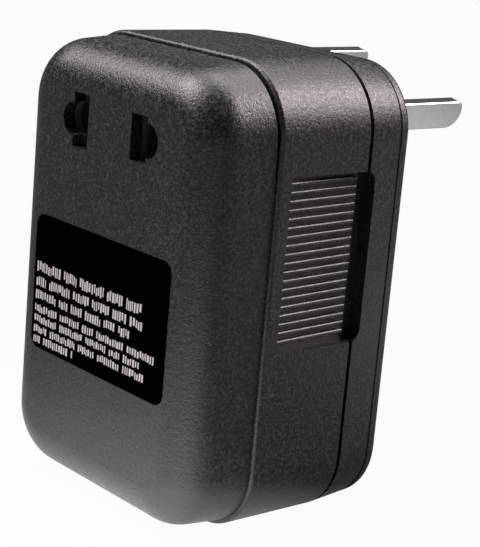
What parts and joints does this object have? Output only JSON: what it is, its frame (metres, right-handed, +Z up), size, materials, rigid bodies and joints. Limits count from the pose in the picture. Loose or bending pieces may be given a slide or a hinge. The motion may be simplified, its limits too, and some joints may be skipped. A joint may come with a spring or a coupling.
{
  "type": "plug-in voltage transformer",
  "caption": "Small black plug-in voltage transformer with a two-slot outlet in front and two flat plug pins behind.",
  "frame": {"origin": "centre of the bounding box, on the flat bottom that the case stands on", "axes": "+Z up the height of the case, +Y from the outlet face to the plug pins, +X to the right of someone facing the outlet"},
  "size_m": [0.05, 0.063, 0.0725],
  "materials": {
    "case": "fine spark-eroded texture with a low sheen",
    "label": "smooth printed film",
    "plating": "bright nickel plate over brass",
    "contact_metal": "plain spring strip",
    "screw_steel": "zinc plated",
    "core_steel": "varnished sheet edges",
    "clamp_steel": "plain sheet",
    "inner_plastic": "moulded insulating plastic",
    "copper": "enamelled copper winding",
    "tape": "yellow film tape",
    "foam": "closed-cell foam",
    "paper": "pressed insulating paper",
    "fuse_body": "glazed body with tinned wires",
    "sleeve": "woven silicone sleeve",
    "red_wire": "soft insulation",
    "blue_wire": "soft insulation"
  },
  "bodies": {
    "root": {"front_cover": "case", "middle_frame": "case", "back_cover": "case", "label_plate": "label", "left_plug_pin": "plating", "right_plug_pin": "plating", "pin_retainer": "inner_plastic", "pin_retainer_screws": "screw_steel", "case_screws": "screw_steel", "core_e_stack": "core_steel", "core_i_stack": "core_steel", "core_clamp": "clamp_steel", "bobbin": "inner_plastic", "bobbin_terminals": "contact_metal", "common_winding": "copper", "layer_tape": "tape", "series_winding": "copper", "outer_wrap": "tape", "coil_pads": "foam", "socket_block": "inner_plastic", "wide_slot_contact": "contact_metal", "narrow_slot_contact": "contact_metal", "socket_retainer": "inner_plastic", "socket_screw": "screw_steel", "barrier_sheet": "paper", "thermal_fuse": "fuse_body", "fuse_sleeve": "sleeve", "live_input_lead": "red_wire", "neutral_input_lead": "blue_wire", "live_output_lead": "red_wire", "neutral_output_lead": "blue_wire"}
  },
  "joints": []
}
